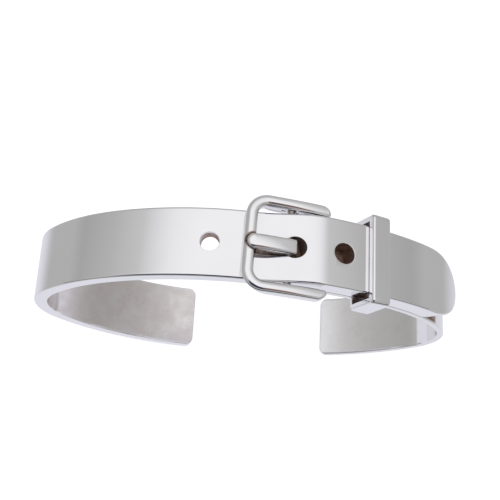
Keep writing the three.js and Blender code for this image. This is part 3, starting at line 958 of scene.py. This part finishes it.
def floor_material():
    """Pale floor that glows softly, mirrored as grey far out and dark in front of the cuff."""
    look = finish()
    material = bpy.data.materials.new("pale floor")
    material.use_nodes = True
    tree = material.node_tree
    shader = tree.nodes["Principled BSDF"]
    shader.inputs["Roughness"].default_value = 0.9
    shader.inputs["Specular IOR Level"].default_value = 0.0
    shader.inputs["Base Color"].default_value = (*look.floor, 1.0)
    shader.inputs["Emission Color"].default_value = (0.98, 0.98, 1.0, 1.0)
    shader.inputs["Emission Strength"].default_value = 0.68
    coordinates = tree.nodes.new("ShaderNodeTexCoord")
    distance = tree.nodes.new("ShaderNodeVectorMath")
    distance.operation = "LENGTH"
    link(tree, coordinates.outputs["Object"], distance.inputs[0])
    split = tree.nodes.new("ShaderNodeSeparateXYZ")
    link(tree, coordinates.outputs["Object"], split.inputs["Vector"])

    far_out = smooth_mask(tree, distance.outputs["Value"], 0.04, 0.11)
    in_front = smooth_mask(tree, split.outputs["Y"], -0.12, -0.15)
    mirrored = mixed(tree, in_front, mixed(tree, far_out, NEAR_GLOW, FAR_GLOW), FRONT_GLOW)
    glow = tree.nodes.new("ShaderNodeEmission")
    link(tree, mirrored, glow.inputs["Color"])
    path = tree.nodes.new("ShaderNodeLightPath")
    both = tree.nodes.new("ShaderNodeMixShader")
    link(tree, path.outputs["Is Glossy Ray"], both.inputs[0])
    link(tree, shader.outputs["BSDF"], both.inputs[1])
    link(tree, glow.outputs["Emission"], both.inputs[2])
    link(tree, both.outputs["Shader"], tree.nodes["Material Output"].inputs["Surface"])
    return material


def studio_world():
    """Soft light: white overhead, grey low down and dark in front; plain white to the camera."""
    world = bpy.data.worlds.new("studio")
    bpy.context.scene.world = world
    world.use_nodes = True
    tree = world.node_tree
    background = tree.nodes["Background"]
    coordinates = tree.nodes.new("ShaderNodeTexCoord")
    split = tree.nodes.new("ShaderNodeSeparateXYZ")
    link(tree, coordinates.outputs["Generated"], split.inputs["Vector"])
    level = tree.nodes.new("ShaderNodeMapRange")
    level.inputs["From Min"].default_value = LOWEST
    level.inputs["From Max"].default_value = 1.0
    link(tree, split.outputs["Z"], level.inputs["Value"])
    ramp = tree.nodes.new("ShaderNodeValToRGB")
    link(tree, level.outputs["Result"], ramp.inputs["Fac"])
    elements = ramp.color_ramp.elements
    for index, (height, value) in enumerate(SKY):
        position = (height - LOWEST) / (1.0 - LOWEST)
        element = elements[index] if index < 2 else elements.new(position)
        element.position = position
        tint = WARM_GREY if value < COOL_FROM else COOL_WHITE
        element.color = (*(value * c for c in tint), 1.0)

    def times(first, second):
        node = tree.nodes.new("ShaderNodeMath")
        node.operation = "MULTIPLY"
        link(tree, first, node.inputs[0])
        link(tree, second, node.inputs[1])
        return node.outputs["Value"]

    front = smooth_mask(tree, split.outputs["Y"], -0.36, -0.44)
    front = times(front, smooth_mask(tree, split.outputs["Z"], 0.22, 0.3))
    left = smooth_mask(tree, split.outputs["X"], -0.78, -0.6)
    right = smooth_mask(tree, split.outputs["X"], 0.47, 0.41)
    dark = mixed(tree, smooth_mask(tree, split.outputs["X"], 0.25, 0.29), DARK_BLUE, DARK_BROWN)
    light = mixed(tree, times(front, times(left, right)), ramp.outputs["Color"], dark)
    path = tree.nodes.new("ShaderNodeLightPath")
    seen = mixed(tree, path.outputs["Is Camera Ray"], light, WHITE)
    link(tree, seen, background.inputs["Color"])
    background.inputs["Strength"].default_value = 1.0


class BELTCUFF_OT_stage(bpy.types.Operator):
    """Make the floor, the soft studio light and the camera"""

    bl_idname = "belt_cuff.stage"
    bl_label = "Stage"

    def execute(self, context):
        bm = bmesh.new()
        bmesh.ops.create_grid(bm, x_segments=1, y_segments=1, size=1.5)
        bmesh.ops.translate(bm, vec=(0.0, 0.0, -0.00002), verts=bm.verts)
        mesh = bpy.data.meshes.new("floor")
        bm.to_mesh(mesh)
        bm.free()
        mesh.materials.append(floor_material())
        floor = bpy.data.objects.new("floor", mesh)
        context.scene.collection.objects.link(floor)
        studio_world()

        back = Vector((
            math.sin(CAMERA_AZIMUTH) * math.cos(CAMERA_ELEVATION),
            -math.cos(CAMERA_AZIMUTH) * math.cos(CAMERA_ELEVATION),
            math.sin(CAMERA_ELEVATION),
        ))
        right = Vector((math.cos(CAMERA_AZIMUTH), math.sin(CAMERA_AZIMUTH), 0.0))
        up = back.cross(right)
        rolled_right = math.cos(CAMERA_ROLL) * right + math.sin(CAMERA_ROLL) * up
        rolled_up = math.cos(CAMERA_ROLL) * up - math.sin(CAMERA_ROLL) * right
        axes = [LEAN_TURN @ v for v in (rolled_right, rolled_up, back)]
        matrix = Matrix(axes).transposed().to_4x4()
        eye = CAMERA_TARGET + CAMERA_DISTANCE * back
        matrix.translation = (ARCH_TOP + LEAN_TURN @ eye) * MM
        data = bpy.data.cameras.new("camera")
        data.lens = CAMERA_LENS
        data.sensor_width = 36.0
        data.clip_start = 0.001
        data.clip_end = 20.0
        camera = bpy.data.objects.new("camera", data)
        camera.matrix_world = matrix
        context.scene.collection.objects.link(camera)
        context.scene.camera = camera
        context.scene.view_settings.view_transform = "Standard"
        return {"FINISHED"}


class BELTCUFF_PT_panel(bpy.types.Panel):
    """Buttons and settings of the belt cuff"""

    bl_idname = "BELTCUFF_PT_panel"
    bl_label = "Belt cuff"
    bl_space_type = "VIEW_3D"
    bl_region_type = "UI"
    bl_category = "Belt cuff"

    def draw(self, context):
        layout = self.layout
        for group in (context.scene.belt_cuff_sizes, context.scene.belt_cuff_finish):
            column = layout.column()
            for name in group.__annotations__:
                column.prop(group, name)
        column = layout.column()
        for operator in OPERATORS:
            column.operator(operator.bl_idname)


SETTINGS = (BeltCuffSizes, BeltCuffFinish)
OPERATORS = (
    BELTCUFF_OT_stage,
    BELTCUFF_OT_belt,
    BELTCUFF_OT_band,
    BELTCUFF_OT_keeper,
    BELTCUFF_OT_frame,
    BELTCUFF_OT_bar,
    BELTCUFF_OT_tongue,
)


def register():
    for cls in (*SETTINGS, *OPERATORS, BELTCUFF_PT_panel):
        bpy.utils.register_class(cls)
    bpy.types.Scene.belt_cuff_sizes = PointerProperty(type=BeltCuffSizes)
    bpy.types.Scene.belt_cuff_finish = PointerProperty(type=BeltCuffFinish)


def unregister():
    del bpy.types.Scene.belt_cuff_finish
    del bpy.types.Scene.belt_cuff_sizes
    for cls in reversed((*SETTINGS, *OPERATORS, BELTCUFF_PT_panel)):
        bpy.utils.unregister_class(cls)


def main():
    register()
    bpy.ops.belt_cuff.stage()
    bpy.ops.belt_cuff.belt()
    bpy.ops.belt_cuff.band()
    bpy.ops.belt_cuff.keeper()
    bpy.ops.belt_cuff.frame()
    bpy.ops.belt_cuff.bar()
    bpy.ops.belt_cuff.tongue()


if __name__ == "__main__":
    main()
